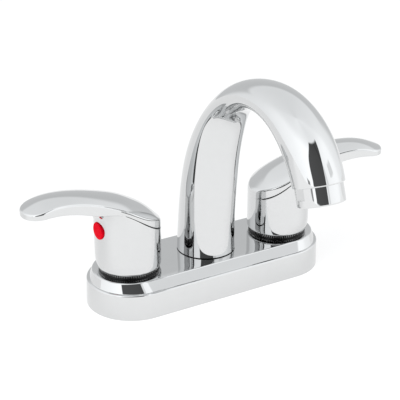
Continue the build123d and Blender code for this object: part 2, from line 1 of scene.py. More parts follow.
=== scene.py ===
from math import cos, pi, radians, sin, sqrt, tan

import bmesh
import bpy
import numpy as np
from mathutils import Matrix, Vector
from mathutils.geometry import tessellate_polygon


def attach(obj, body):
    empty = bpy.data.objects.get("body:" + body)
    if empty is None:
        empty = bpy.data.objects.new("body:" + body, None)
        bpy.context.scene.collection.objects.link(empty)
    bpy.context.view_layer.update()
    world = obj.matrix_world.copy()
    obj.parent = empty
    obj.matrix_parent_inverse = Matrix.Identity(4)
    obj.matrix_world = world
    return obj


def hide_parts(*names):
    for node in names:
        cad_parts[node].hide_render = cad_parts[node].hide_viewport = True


# Looks of the basin mixer tap. Sizes are millimetres until a mesh is made, which is in metres, and
# angles are degrees. The deck is the plane Z = 0. The spout turns about the Z axis and points along -Y.

MM = 0.001
weld_distance = 1e-6
sharp_angle = 35.0
nearly_nothing = 0.01

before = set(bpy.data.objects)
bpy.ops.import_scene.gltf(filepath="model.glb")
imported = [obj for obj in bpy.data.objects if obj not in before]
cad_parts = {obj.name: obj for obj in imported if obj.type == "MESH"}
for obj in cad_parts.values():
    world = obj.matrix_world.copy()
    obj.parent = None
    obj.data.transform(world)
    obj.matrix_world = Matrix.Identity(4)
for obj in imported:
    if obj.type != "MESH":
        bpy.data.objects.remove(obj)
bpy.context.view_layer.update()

# Where the pieces stand: the side of each handle, and how far its lever is turned to the front
sides = {"hot": -1, "cold": 1}
rest_turn = {"hot": 4.0, "cold": 20.0}
handle_offset = 50.8

# Base cover
base_half_length = 75.65
base_half_depth = 27.15
base_height = 20.9
skirt_height = 15.4
skirt_draft = 1.8
skirt_edge_radius = 0.9
ledge_width = 1.1
ledge_corner_radius = 0.25
plateau_half_length = 72.0
plateau_half_depth = 21.7
plateau_edge_radius = 0.9
plateau_border = 4.0
cover_wall = 2.2
cover_inner_radii = (0.5, 0.2, 0.4)
cover_edge_steps = 8
cover_inner_edge_steps = 3
cover_hole_radius = 12.3
cover_arc_steps = 48
cover_side_steps = 40
cover_hole_sides = 96

# Handles. A lever's half width and heights go by the share of the way from the axis (0) to the tip
# (1) or to the back of the body (-1).
handle_rim_height = 23.47
handle_radius = 18.4
handle_cavity_radius = 15.0
handle_cavity_top = 42.0
stem_hole_radius = 4.1
stem_hole_top = 52.1
handle_overlap = 1.2
seam_gap = 0.2
seam_core_radius = 17.8
lever_reach = 63.4
lever_tip_length = 9.4
lever_tip_half_width = 10.6
lever_crown_radius = 29.0
lever_top_edge_radius = 1.5
lever_back_edge_radius = 5.0
lever_back_start = 122.0
lever_back_end = 162.0
lever_bottom_edge_radius = 0.5
lever_wall_start = 100.0
lever_waist = ((0.126, 17.2), (0.284, 14.7), (0.536, 12.0))
lever_crest = (
    (-1.087, 47.2), (-0.598, 57.0), (-0.163, 62.5), (0.079, 66.6), (0.205, 69.5), (0.379, 72.6),
    (0.631, 75.2), (0.852, 74.2), (1.025, 70.2),
)
lever_underside = (
    (-1.087, 43.0), (-0.5, 48.3), (-0.29, 50.6), (0.044, 56.1), (0.197, 61.2), (0.379, 63.2),
    (0.568, 66.4), (0.789, 68.2), (1.041, 67.2),
)
lever_flank_points = 110
lever_tip_points = 60
lever_back_points = 90
lever_top_rows = 15
lever_top_edge_rows = 9
lever_wall_shares = (0.33, 0.67)
lever_bottom_edge_rows = 7
lever_sole_rows = 12

# Body under a lever: how its wall flares, and how far over the sole it ends by distance along it
throat_bottom = 47.0
throat_reach = 27.5
throat_power = 3.4
throat_lift = ((-25.0, -0.2), (0.0, -0.2), (8.0, 0.4), (18.0, 1.4), (24.0, 2.8), (30.0, 3.2))
sole_blend = 4.0
sole_lift = 0.3
back_cover_height = 0.8
back_cover_skin = 0.03
# How far round to the back the painted shade in the seam runs, as a share of the way round
seam_end_share = 0.3
# Painted shade: the dark line round the lever's top, a line of faces painted dark in place of a crease's
# shade; how far it runs to the front and back, and its rows of faces
shade_line_reach = 13.0
shade_line_back = 12.0
shade_line_rows = (21, 22)
# The body's swell over its rim
front_swell = 0.36
side_swell = 2.64
swell_height = 5.0
rim_radius = 1.1
rim_rows = 6
body_columns = 200
# Rows up the wall: from a share of its height, to a share, how many
body_wall_rows = ((0, 0.4, 6), (0.4, 0.76, 13), (0.76, 1, 23))
# The wall's columns and rows that make way for the button's hole
patch_columns = 12
patch_rows = (5, 17)
patch_steps = 9

# Index buttons
button_radius = 5.0
button_height = 48.2
button_proud = 1.2
button_depth = 3.0
button_edge_radius = 0.5
button_hole_radius = 5.1
button_inner_share = 0.6
button_columns = 64
button_edge_rows = 7

# Spout: its middle line as arcs of radius and turn, and its half sizes at even shares of that line
spout_foot = 21.4
spout_arcs = ((265.84, 10.27), (110.54, 19.77), (54.83, 25.3), (47.55, 104.86))
spout_width = (17.2, 16.8, 16.8, 16.4, 15.4, 13.7, 13.1, 13.4, 13.5, 13.8, 13.0)
spout_depth = (17.2, 16.1, 14.7, 12.6, 10.0, 7.8, 7.7, 7.93, 9.5, 11.5, 13.0)
spout_wall = 3.0
spout_end_radius = 0.7
spout_thread_radius = 11.0
spout_thread_depth = 7.6
spout_floor_heights = (42.0, 38.0)
spout_tail_hole = 7.3
spout_steps = 200
spout_columns = 128
spout_inner_step = 4
spout_edge_rows = 7

# Aerator ring
aerator_radius = 12.0
aerator_height = 9.5
aerator_thread_radius = 10.9
aerator_thread_length = 6.0
aerator_bore_radius = 9.6
aerator_lip = 0.9
aerator_edge_radius = 0.8
aerator_lip_edge = 0.2
aerator_flats = 23.1
aerator_flat_height = 5.7
aerator_columns = 120
aerator_edge_rows = 8
aerator_sharp_angle = 25.0

# Toothed rings
ring_radius = 17.4
ring_edge = 0.25
ring_top = 23.1
ring_hub_radius = 14.2
ring_bore_radius = 12.05
ring_lip_bore = 8.0
ring_ceiling = 33.0
ring_lid_top = 34.8
ring_teeth = 80
ring_tooth_depth = 0.7
ring_tooth_base = 21.7
ring_tooth_start = 0.15
ring_tooth_land = 1.4
columns_per_tooth = 4
crest_share = 0.3
ridged_sharp_angle = 40.0

# Inlet shanks
shank_radius = 10.4
shank_bottom = -48.0
shank_bore_radius = 5.5
spigot_radius = 7.5
shank_shoulder = 2.4
spigot_length = 3.0
thread_pitch = 1.814
thread_depth = 1.1
thread_top = -20.0
thread_chamfer = 0.7
thread_columns = 72
rows_per_turn = 8


# Curves
def round_angles(count):
    """Evenly spaced angles of one whole turn."""
    return np.linspace(0, 2 * pi, count, endpoint=False)


def curve_through(places, values, end_slopes=None):
    """The smooth cubic through the given points, as a function of the place."""
    places, values = np.array(places, float), np.array(values, float)
    count = len(places)
    gaps = np.diff(places)
    slopes = np.diff(values) / gaps
    matrix, right = np.zeros((count, count)), np.zeros(count)
    for i in range(1, count - 1):
        matrix[i, i - 1 : i + 2] = gaps[i - 1], 2 * (gaps[i - 1] + gaps[i]), gaps[i]
        right[i] = 6 * (slopes[i] - slopes[i - 1])
    if end_slopes is None:
        matrix[0, 0] = matrix[-1, -1] = 1
    else:
        matrix[0, :2] = 2 * gaps[0], gaps[0]
        matrix[-1, -2:] = gaps[-1], 2 * gaps[-1]
        right[0] = 6 * (slopes[0] - end_slopes[0])
        right[-1] = 6 * (end_slopes[1] - slopes[-1])
    bends = np.linalg.solve(matrix, right)

    def value(x):
        x = np.asarray(x, float)
        i = np.clip(np.searchsorted(places, x) - 1, 0, count - 2)
        t = x - places[i]
        start = slopes[i] - gaps[i] * (2 * bends[i] + bends[i + 1]) / 6
        twist = (bends[i + 1] - bends[i]) / (6 * gaps[i])
        return values[i] + t * (start + t * (bends[i] / 2 + t * twist))

    return value


def flat_curve(points, start, end, count):
    """Points along a smooth flat curve through the given points, with given end directions."""
    points = np.array(points, float)
    lengths = np.concatenate([[0], np.cumsum(np.hypot(*np.diff(points, axis=0).T))])
    along = np.linspace(0, lengths[-1], count)
    ends = np.array([start, end], float)
    return np.column_stack([curve_through(lengths, points[:, k], ends[:, k])(along) for k in (0, 1)])


def rounded_profile(corners, radii, steps):
    """Columns of points along a folded line, one column for each place around a shape, corners rounded.

    corners is a list of arrays of points, one array for each corner."""
    rows = [corners[0]]
    for before, corner, after, radius in zip(corners, corners[1:], corners[2:], radii):
        to_before = before - corner
        to_after = after - corner
        to_before /= np.linalg.norm(to_before, axis=1, keepdims=True)
        to_after /= np.linalg.norm(to_after, axis=1, keepdims=True)
        half = np.arccos(np.clip((to_before * to_after).sum(1), -1, 1)) / 2
        middle = to_before + to_after
        middle /= np.linalg.norm(middle, axis=1, keepdims=True)
        centre = corner + middle * (radius / np.sin(half))[:, None]
        start = corner + to_before * (radius / np.tan(half))[:, None] - centre
        end = corner + to_after * (radius / np.tan(half))[:, None] - centre
        turn = np.pi - 2 * half
        for step in range(steps + 1):
            share = step / steps
            first = np.sin((1 - share) * turn) / np.sin(turn)
            second = np.sin(share * turn) / np.sin(turn)
            rows.append(centre + start * first[:, None] + end * second[:, None])
    rows.append(corners[-1])
    return rows


# Meshes
def lathe(profile, angles):
    """Rings of (across, across, along) round an axis from an outline of (radius, along)."""
    return [
        np.column_stack([radius * np.cos(angles), radius * np.sin(angles), np.full(len(angles), along)])
        for radius, along in profile
    ]


def skin(rings, first=0):
    """Quads between closed rings of equal length, numbered from the given vertex."""
    faces = []
    count = len(rings[0])
    for row in range(len(rings) - 1):
        start = first + row * count
        for i in range(count):
            after = (i + 1) % count
            faces.append((start + i, start + after, start + count + after, start + count + i))
    return faces


def make_piece(name, points, faces, body, slot, stands_for, sharp=sharp_angle, seam=()):
    """A piece from points in millimetres. seam numbers the faces that get painted shade, where a seam or
    crease would be dark.
    """
    mesh = bpy.data.meshes.new(name)
    mesh.from_pydata((np.array(points, float) * MM).tolist(), [], faces)
    mesh.materials.append(finishes[slot])
    # Painted shade: the faces listed in seam get the dark seam finish
    if seam:
        mesh.materials.append(finishes["seam_shadow"])
    for number in seam:
        mesh.polygons[int(number)].material_index = 1
    add_piece(name, mesh, body, stands_for, sharp)


def add_piece(name, mesh, body, stands_for, sharp=sharp_angle):
    """A welded, smooth piece from a mesh with its finish, riding on a CAD body in its nodes' place."""
    mesh.name = name
    work = bmesh.new()
    work.from_mesh(mesh)
    bmesh.ops.remove_doubles(work, verts=work.verts, dist=weld_distance)
    bmesh.ops.dissolve_degenerate(work, edges=work.edges, dist=weld_distance)
    bmesh.ops.recalc_face_normals(work, faces=work.faces)
    work.to_mesh(mesh)
    work.free()
    mesh.shade_smooth()
    mesh.set_sharp_from_angle(angle=radians(sharp))
    obj = bpy.data.objects.new(name, mesh)
    bpy.context.scene.collection.objects.link(obj)
    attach(obj, body)
    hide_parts(*stands_for)


# Finishes
def finish(name, colour, second_colour, metallic, roughness, grain_size, specular=0.5, ior=1.5):
    """A shader whose colour and gloss change a little over the piece, as a real surface's do."""
    material = bpy.data.materials.new(name)
    material.use_nodes = True
    nodes, links = material.node_tree.nodes, material.node_tree.links
    shader = nodes["Principled BSDF"]
    shader.inputs["Metallic"].default_value = metallic
    shader.inputs["Specular IOR Level"].default_value = specular
    shader.inputs["IOR"].default_value = ior
    place = nodes.new("ShaderNodeTexCoord")
    grain = nodes.new("ShaderNodeTexNoise")
    grain.inputs["Scale"].default_value = 1 / (grain_size * MM)
    grain.inputs["Detail"].default_value = 3
    links.new(place.outputs["Object"], grain.inputs["Vector"])
    tint = nodes.new("ShaderNodeMix")
    tint.data_type = "RGBA"
    tint.inputs["A"].default_value = (*colour, 1)
    tint.inputs["B"].default_value = (*second_colour, 1)
    links.new(grain.outputs["Fac"], tint.inputs["Factor"])
    links.new(tint.outputs["Result"], shader.inputs["Base Color"])
    gloss = nodes.new("ShaderNodeMapRange")
    gloss.inputs["To Min"].default_value = roughness[0]
    gloss.inputs["To Max"].default_value = roughness[1]
    links.new(grain.outputs["Fac"], gloss.inputs["Value"])
    links.new(gloss.outputs["Result"], shader.inputs["Roughness"])
    return material


def grey(level):
    return (level, level, level)


# Finishes by slot, and two more: painted shade for faces in a seam, and a finish for the tips of the
# teeth
finishes = {
    "polished_chrome": finish(
        "polished chrome", (0.665, 0.67, 0.672), (0.645, 0.65, 0.652), 1, (0.012, 0.04), 6
    ),
    # Painted shade: a dark, dull chrome put on faces in the seam and round the lever's top, standing for
    # the shade that falls there
    "seam_shadow": finish("painted shade in a seam", grey(0.1), grey(0.07), 1, (0.5, 0.6), 1),
    "brass": finish("cast brass", (0.72, 0.52, 0.25), (0.62, 0.43, 0.19), 1, (0.28, 0.42), 1.2),
    "plain_steel": finish("zinc plate", (0.6, 0.6, 0.58), grey(0.5), 1, (0.3, 0.45), 1.5),
    "white_plastic": finish(
        "white plastic", (0.84, 0.84, 0.81), (0.78, 0.78, 0.75), 0, (0.42, 0.52), 1.0
    ),
    "ceramic": finish("lapped ceramic", (0.9, 0.89, 0.86), (0.86, 0.85, 0.82), 0, (0.2, 0.3), 0.8),
    "black_rubber": finish("black rubber", grey(0.008), grey(0.014), 0, (0.6, 0.75), 0.6, ior=1.3),
    "black_plastic": finish("black plastic", grey(0.004), grey(0.007), 0, (0.2, 0.3), 0.6, ior=1.35),
    "glossy_black": finish("glossy black teeth", grey(0.02), grey(0.03), 0, (0.12, 0.2), 0.6, ior=2.6),
    "grey_plastic": finish("grey plastic", (0.42, 0.43, 0.44), (0.36, 0.37, 0.38), 0, (0.35, 0.5), 0.8),
    "red_plastic": finish(
        "red index plastic", (0.85, 0.004, 0.018), (0.8, 0.003, 0.016), 0, (0.3, 0.4), 2, ior=1.05
    ),
    "blue_plastic": finish(
        "blue index plastic", (0.01, 0.05, 0.55), (0.008, 0.04, 0.5), 0, (0.3, 0.4), 2, ior=1.08
    ),
}

# Words in the names of the solids, by slot. The last slot that fits a name is its own.
slot_words = (
    ("polished_chrome", ("base_cover", "handle_", "spout", "aerator_housing")),
    ("brass", ("waterway", "gland", "shank", "cartridge_housing", "valve_stem", "spout_tail")),
    ("plain_steel", ("mounting_washer", "set_screw")),
    ("white_plastic", ("mounting_nut", "aerator_insert")),
    ("ceramic", ("_disc",)),
    ("black_rubber", ("seal", "gasket", "aerator_washer")),
    ("black_plastic", ("toothed_ring", "spout_seat_ring")),
    ("grey_plastic", ("aerator_screen",)),
    ("red_plastic", ("index_button_hot",)),
    ("blue_plastic", ("index_button_cold",)),
)
for node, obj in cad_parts.items():
    slot_name = "polished_chrome"
    for slot, words in slot_words:
        if any(word in node for word in words):
            slot_name = slot
    obj.data.materials.clear()
    obj.data.materials.append(finishes[slot_name])


# Geometry Nodes
class Wiring:
    """Nodes of one tree, added and joined one after another."""

    def __init__(self, tree):
        self.tree = tree

    def add(self, kind, *values, **settings):
        """A node's first output. values go to its sockets in turn, None leaves one as it is."""
        node = self.tree.nodes.new(kind)
        for setting, value in settings.items():
            setattr(node, setting, value)
        sockets = [socket for socket in node.inputs if socket.enabled]
        for socket, value in zip(sockets, values):
            if isinstance(value, bpy.types.NodeSocket):
                self.tree.links.new(value, socket)
            elif value is not None:
                socket.default_value = value
        return node.outputs[0] if node.outputs else None

    def maths(self, operation, *values):
        return self.add("ShaderNodeMath", *values, operation=operation)

    def split(self, vector):
        """The three parts of a vector, by the names X, Y and Z."""
        node = self.tree.nodes.new("ShaderNodeSeparateXYZ")
        self.tree.links.new(vector, node.inputs[0])
        return node.outputs

    def scaled(self, vector, factor):
        node = self.tree.nodes.new("ShaderNodeVectorMath")
        node.operation = "SCALE"
        self.tree.links.new(vector, node.inputs[0])
        self.tree.links.new(factor, node.inputs["Scale"])
        return node.outputs["Vector"]

    def ramp(self, value, low, high):
        """A soft rise from 0 at one value to 1 at another."""
        node = self.tree.nodes.new("ShaderNodeMapRange")
        node.interpolation_type = "SMOOTHERSTEP"
        node.inputs["From Min"].default_value = low
        node.inputs["From Max"].default_value = high
        self.tree.links.new(value, node.inputs["Value"])
        return node.outputs["Result"]


def new_tree(name, inputs):
    """An empty Geometry Nodes tree with named inputs, its wiring, and what its inputs give."""
    tree = bpy.data.node_groups.new(name, "GeometryNodeTree")
    tree.interface.new_socket("Geometry", in_out="OUTPUT", socket_type="NodeSocketGeometry")
    for input_name, kind in (("Geometry", "Geometry"), *inputs):
        tree.interface.new_socket(input_name, in_out="INPUT", socket_type=f"NodeSocket{kind}")
    given = {socket.name: socket for socket in tree.nodes.new("NodeGroupInput").outputs}
    return tree, Wiring(tree), given


def grown(tree, mesh, **sizes):
    """The plain mesh that a tree makes from a mesh, with the tree's named inputs set."""
    seed = bpy.data.objects.new("seed", mesh)
    bpy.context.scene.collection.objects.link(seed)
    modifier = seed.modifiers.new("grow", "NODES")
    modifier.node_group = tree
    for socket in tree.interface.items_tree:
        key = socket.name.replace(" ", "_").lower()
        if socket.in_out == "INPUT" and key in sizes:
            modifier[socket.identifier] = sizes[key]
    bpy.context.view_layer.update()
    evaluated = seed.evaluated_get(bpy.context.evaluated_depsgraph_get())
    result = bpy.data.meshes.new_from_object(evaluated)
    seed.modifiers.remove(modifier)
    bpy.data.objects.remove(seed)
    return result


# Base cover
def oval_ring(half_length, half_depth, height):
    """Points round a slot shape: two half circles joined by straight sides."""
    straight = half_length - half_depth
    points = []
    for side in (1, -1):
        for angle in np.linspace(-pi / 2, pi / 2, cover_arc_steps, endpoint=False):
            points.append((side * (straight + half_depth * cos(angle)), side * half_depth * sin(angle)))
        for share in np.linspace(0, 1, cover_side_steps, endpoint=False):
            points.append((side * straight * (1 - 2 * share), side * half_depth))
    return np.array([(x, y, height) for x, y in points])


def base_corners(inset):
    """The corners of the cover's profile, moved inwards and down by a wall thickness."""
    skirt_top = skirt_height - inset
    skirt_inset = skirt_top * tan(radians(skirt_draft)) + inset
    ledge_inset = ledge_width + skirt_edge_radius + inset
    border = plateau_border + inset
    return [
        oval_ring(base_half_length - inset, base_half_depth - inset, 0),
        oval_ring(base_half_length - skirt_inset, base_half_depth - skirt_inset, skirt_top),
        oval_ring(base_half_length - ledge_inset, base_half_depth - ledge_inset, skirt_top),
        oval_ring(plateau_half_length - inset, plateau_half_depth - inset, base_height - inset),
        oval_ring(plateau_half_length - border, plateau_half_depth - border, base_height - inset),
    ]


def base_cover():
    """Thin shell with a skirt, a ledge and a raised plateau, which has a hole under each column."""
    radii = (skirt_edge_radius, ledge_corner_radius, plateau_edge_radius)
    outside = rounded_profile(base_corners(0), radii, cover_edge_steps)
    inside = rounded_profile(base_corners(cover_wall), cover_inner_radii, cover_inner_edge_steps)
    rings = inside[::-1] + outside
    points = [p for ring in rings for p in ring]
    faces = skin(rings)
    rim = lathe([(cover_hole_radius, 0)], round_angles(cover_hole_sides))[0]
    hole_places = (-handle_offset, 0, handle_offset)
    heights = (base_height, base_height - cover_wall)
    for border, height in zip((outside[-1], inside[-1]), heights):
        loops = [border] + [rim + (x, 0, height) for x in hole_places]
        start = len(points)
        points += [p for loop in loops for p in loop]
        triangles = tessellate_polygon([[Vector(p) for p in loop] for loop in loops])
        faces += [tuple(start + i for i in triangle) for triangle in triangles]
    for x in hole_places:
        wall = [rim + (x, 0, height) for height in heights]
        faces += skin(wall, len(points))
        points += [p for ring in wall for p in ring]
    make_piece("base_cover_shell", points, faces, "base", "polished_chrome", ["base_cover"])


base_cover()


# Handles
def along_lever(table):
    """A table's points, its shares turned into distances from the handle's axis."""
    return [(share * (handle_radius if share < 0 else lever_reach), value) for share, value in table]


crest_height = curve_through(*zip(*along_lever(lever_crest)))
underside_height = curve_through(*zip(*along_lever(lever_underside)))


def lever_top_height(u, v):
    """Height of the crowned top of the lever at a place along and across it."""
    return crest_height(u) - (lever_crown_radius - np.sqrt(lever_crown_radius**2 - v**2))


def lever_outline():
    """Points round the lever seen from above, and the outward direction at each."""
    start = radians(lever_wall_start)
    first = (handle_radius * cos(start), handle_radius * sin(start))
    shoulder = (lever_reach - lever_tip_length, lever_tip_half_width)
    nose = (shoulder[0] + lever_tip_length * sqrt(0.5), lever_tip_half_width * sqrt(0.5))
    flank = (first, *along_lever(lever_waist), shoulder)
    flank = flat_curve(flank, (sin(start), -cos(start)), (1, 0), lever_flank_points)
    tip = flat_curve((shoulder, nose, (lever_reach, 0)), (1, 0), (0, -1), lever_tip_points)
    half = np.concatenate([flank[:-1], tip])
    angles = np.linspace(2 * pi - start, start, lever_back_points)[1:-1]
    back = np.column_stack([handle_radius * np.cos(angles), handle_radius * np.sin(angles)])
    outline = np.concatenate([half, (half * (1, -1))[-2::-1], back])
    tangent = np.roll(outline, -1, axis=0) - np.roll(outline, 1, axis=0)
    tangent /= np.linalg.norm(tangent, axis=1, keepdims=True)
    return outline, np.column_stack([-tangent[:, 1], tangent[:, 0]])


def back_share(angles):
    """How far a direction lies round the body's back, where lever and wall flow together."""
    turned = np.degrees(np.abs((angles + pi) % (2 * pi) - pi))
    share = np.clip((turned - lever_back_start) / (lever_back_end - lever_back_start), 0, 1)
    return share * share * (3 - 2 * share)


def lever_rings():
    """Rings of (along, across, height) over the lever, from the middle of its top to that of its sole."""
    outline, outward = lever_outline()
    spine = np.clip(outline[:, 0], 0, lever_reach - lever_tip_length)
    spine = np.column_stack([spine, np.zeros(len(outline))])
    rings = []

    def sole_height(u, v):
        return underside_height(u)

    def moved_in(inset):
        return outline - outward * np.broadcast_to(inset, len(outline))[:, None]

    def face(height, inset, shares):
        """Rings between the spine and the border of the top or the sole."""
        border = moved_in(inset)
        for share in shares:
            place = spine + (border - spine) * share
            rings.append(np.column_stack([place, height(*place.T)]))

    def edge_centre(height, radius, side):
        """Centre heights of the round edge above (1) or below (-1) the wall, and how far it turns."""
        level = height(*moved_in(radius).T)
        fall = (height(*moved_in(radius - nearly_nothing).T) - level) / nearly_nothing
        return level - side * radius * np.sqrt(1 + fall**2), side * pi / 2 + np.arctan(fall)

    def round_edge(radius, middle, turn, shares):
        for share in shares:
            inset = radius * (1 - np.cos(turn * share))
            rings.append(np.column_stack([moved_in(inset), middle + radius * np.sin(turn * share)]))

    back = back_share(np.arctan2(outline[:, 1], outline[:, 0]))
    radius = lever_top_edge_radius + (lever_back_edge_radius - lever_top_edge_radius) * back
    face(lever_top_height, radius, np.linspace(0, 1, lever_top_rows))
    middle, turn = edge_centre(lever_top_height, radius, 1)
    round_edge(radius, middle, turn, np.linspace(1, 0, lever_top_edge_rows))
    upper = rings[-1][:, 2]
    radius = lever_bottom_edge_radius
    middle, turn = edge_centre(sole_height, radius, -1)
    for share in lever_wall_shares:
        rings.append(np.column_stack([outline, upper * (1 - share) + middle * share]))
    round_edge(radius, middle, turn, np.linspace(0, 1, lever_bottom_edge_rows))
    face(sole_height, radius, np.linspace(1, 0, lever_sole_rows))
    return rings


# Rows up the body's wall, and the lever's outline sorted by its bearing from the axis
wall_shares = np.unique(np.concatenate([np.linspace(*rows) for rows in body_wall_rows]))
outline_points, _ = lever_outline()
outline_bearing = np.arctan2(outline_points[:, 1], outline_points[:, 0]) % (2 * pi)
outline_order = np.argsort(outline_bearing)
outline_reach = np.hypot(*outline_points.T)[outline_order]
outline_bearing = outline_bearing[outline_order]


def throat_edge(angles):
    """Reach and height at which the body's flared wall meets the lever, by direction."""
    reach = np.interp(angles % (2 * pi), outline_bearing, outline_reach, period=2 * pi)
    forward = np.maximum(np.cos(angles), nearly_nothing)
    under_sole = np.clip((reach * forward - throat_reach) / sole_blend, 0, 1)
    reach = np.where(np.cos(angles) > 0, np.minimum(reach, throat_reach / forward), reach)
    lift = np.interp(reach * np.cos(angles), *zip(*throat_lift))
    lift = lift * (1 - under_sole) + sole_lift * under_sole
    closed = back_share(angles)
    lift = lift * (1 - closed) + back_cover_height * closed
    return reach + back_cover_skin * closed, underside_height(reach * np.cos(angles)) + lift


def wall_radius(angles, height):
    """Radius of the body's wall: it swells above its rim and flares like a trumpet under the lever."""
    share = np.clip((height - handle_rim_height) / swell_height, 0, 1)
    forward, aside = np.clip(np.cos(angles), 0, 1), np.sin(angles) ** 2
    swell = forward * (front_swell + side_swell * aside)
    radius = handle_radius + swell * share * share * (3 - 2 * share)
    reach, top = throat_edge(angles)
    rise = np.clip((height - throat_bottom) / (top - throat_bottom), 0, 1) * (np.cos(angles) > 0)
    return radius + (reach - radius) * rise**throat_power


def body_wall():
    """Rings up the body's round wall, from above its rim to the lever."""
    angles = round_angles(body_columns)
    _, top = throat_edge(angles)
    bottom = handle_rim_height + rim_radius
    rings = []
    for share in wall_shares:
        height = bottom + (top - bottom) * share
        radius = wall_radius(angles, height)
        rings.append(np.column_stack([radius * np.cos(angles), radius * np.sin(angles), height]))
    return rings


def button_hole(rings, first_row, last_row):
    """Rings from the border of the wall's open patch to the rim of the button's hole and its floor."""
    border = [(first_row, column) for column in range(-patch_columns, patch_columns)]
    border += [(row, patch_columns) for row in range(first_row, last_row)]
    border += [(last_row, column) for column in range(patch_columns, -patch_columns, -1)]
    border += [(row, -patch_columns) for row in range(last_row, first_row, -1)]
    outer = []
    for row, column in border:
        angle = 2 * pi * column / body_columns
        outer.append((handle_radius * angle, rings[row][column % body_columns][2]))
    outer = np.array(outer)
    bearing = np.arctan2(outer[:, 1] - button_height, outer[:, 0])
    across = button_hole_radius * np.cos(bearing)
    heights = button_height + button_hole_radius * np.sin(bearing)
    inner = np.column_stack([handle_radius * np.arcsin(across / handle_radius), heights])
    patch = []
    for share in np.linspace(0, 1, patch_steps):
        place = outer + (inner - outer) * share
        angle = place[:, 0] / handle_radius
        radius = wall_radius(angle, place[:, 1])
        patch.append(np.column_stack([radius * np.cos(angle), radius * np.sin(angle), place[:, 1]]))
    floor = np.full(len(across), handle_radius + button_proud - button_depth)
    patch.append(np.column_stack([floor, across, heights]))
    patch.append(np.column_stack([floor, across * 0, heights * 0 + button_height]))
    return patch


def body_mesh():
    """Points, faces and the faces painted with shade in the seam, of the round body with its cavity, seam
    groove and button hole.
    """
    wall = body_wall()
    rims = []
    for angle in np.linspace(0, pi / 2, rim_rows)[1:]:
        narrowed = 1 - rim_radius * (1 - cos(angle)) / handle_radius
        rims.insert(0, wall[0] * (narrowed, narrowed, 1) - (0, 0, rim_radius * sin(angle)))
    angles = round_angles(body_columns)

    def under_lever(radius, lift):
        ring = lathe([(radius, 0)], angles)[0]
        ring[:, 2] = underside_height(ring[:, 0]) + lift
        return ring

    cavity = (
        (nearly_nothing, stem_hole_top), (stem_hole_radius, stem_hole_top),
        (stem_hole_radius, handle_cavity_top), (handle_cavity_radius, handle_cavity_top),
        (handle_cavity_radius, handle_rim_height),
    )
    below = lathe(cavity, angles) + rims
    above = [
        under_lever(seam_core_radius, -seam_gap), under_lever(seam_core_radius, handle_overlap),
        under_lever(seam_core_radius / 2, handle_overlap), under_lever(nearly_nothing, handle_overlap),
    ]
    rings = below + wall + above
    points = [p for ring in rings for p in ring]
    first_row, last_row = (len(below) + row for row in patch_rows)
    hidden = set()
    for row in range(first_row, last_row):
        for column in range(-patch_columns, patch_columns):
            hidden.add(row * body_columns + column % body_columns)
    faces = [face for number, face in enumerate(skin(rings)) if number not in hidden]
    reach, _ = throat_edge(angles)
    # Painted shade: the seam's two rows of faces, and the wall's top row beside the lever, get the dark
    # seam finish
    seamed = np.flatnonzero(back_share(angles) < seam_end_share)
    beside_lever = np.intersect1d(seamed, np.flatnonzero(reach * np.cos(angles) < throat_reach - 1))
    # Faces are numbered row by row, one for each column
    seam_start = (len(below) + len(wall) - 1) * body_columns - len(hidden)
    seam = [seam_start + body_columns * row + column for row in (0, 1) for column in seamed]
    seam += [seam_start - body_columns + column for column in beside_lever]
    patch = button_hole(rings, first_row, last_row)
    faces += skin(patch, len(points))
    points += [p for ring in patch for p in ring]
    return points, faces, seam


def placed(side, points):
    """Points given along, across and above one handle, put where that handle stands."""
    turn = radians(rest_turn[side])
    sign = sides[side]
    outward = np.array((sign * cos(turn), -sin(turn), 0))
    across = np.array((-outward[1], outward[0], 0))
    points = np.array(points)
    centre = np.array((sign * handle_offset, 0, 0))
    return centre + points[:, :1] * outward + points[:, 1:2] * across + points[:, 2:] * (0, 0, 1)


def handle(side):
    """Body and arched lever in one casting, with painted shade on faces in the seam between them and
    along a line round the lever's top.
    """
    levers = lever_rings()
    points, faces, seam = body_mesh()
    along = outline_points[:, 0]
    # Painted shade: rows of faces round the lever's top get the dark seam finish, as a crease's shade
    over_body = np.flatnonzero((along < shade_line_reach) & (along > -shade_line_back))
    seam += [len(faces) + row * len(along) + column for row in shade_line_rows for column in over_body]
    faces += skin(levers, len(points))
    points += [p for ring in levers for p in ring]
    make_piece(
        f"handle_{side}_casting", placed(side, points), faces, f"handle_{side}", "polished_chrome",
        [f"handle_{side}"], seam=seam,
    )


def index_button(side):
    """Round plug with a soft edge, proud of the body's wall."""
    face = handle_radius + button_proud
    back = face - button_depth
    edge = button_edge_radius
    profile = [(nearly_nothing, back), (button_radius, back), (button_radius, face - edge)]
    for angle in np.linspace(0, pi / 2, button_edge_rows)[1:]:
        profile.append((button_radius - edge + edge * cos(angle), face - edge + edge * sin(angle)))
    profile += [(button_radius * button_inner_share, face), (nearly_nothing, face)]
    rings = lathe(profile, round_angles(button_columns))
    points = [(along, across, button_height + up) for ring in rings for across, up, along in ring]
    slot = "red_plastic" if side == "hot" else "blue_plastic"
    make_piece(
        f"index_button_{side}_plug", placed(side, points), skin(rings), f"handle_{side}", slot,
        [f"index_button_{side}"],
    )


for side in sides:
    handle(side)
    index_button(side)


# Spout
def spout_line(count):
    """Points and headings along the middle line: arcs that tighten from the foot to the arch."""
    lengths = [radius * radians(turn) for radius, turn in spout_arcs]
    places, headings = [], []
    for along in np.linspace(0, sum(lengths), count):
        y, z, heading = 0.0, spout_foot, 0.0
        for (radius, turn), length in zip(spout_arcs, lengths):
            bend = min(along, length) / radius
            y -= radius * (cos(heading) - cos(heading + bend))
            z += radius * (sin(heading + bend) - sin(heading))
            heading += bend
            along -= min(along, length)
        places.append((y, z))
        headings.append(heading)
    return np.array(places), np.array(headings)


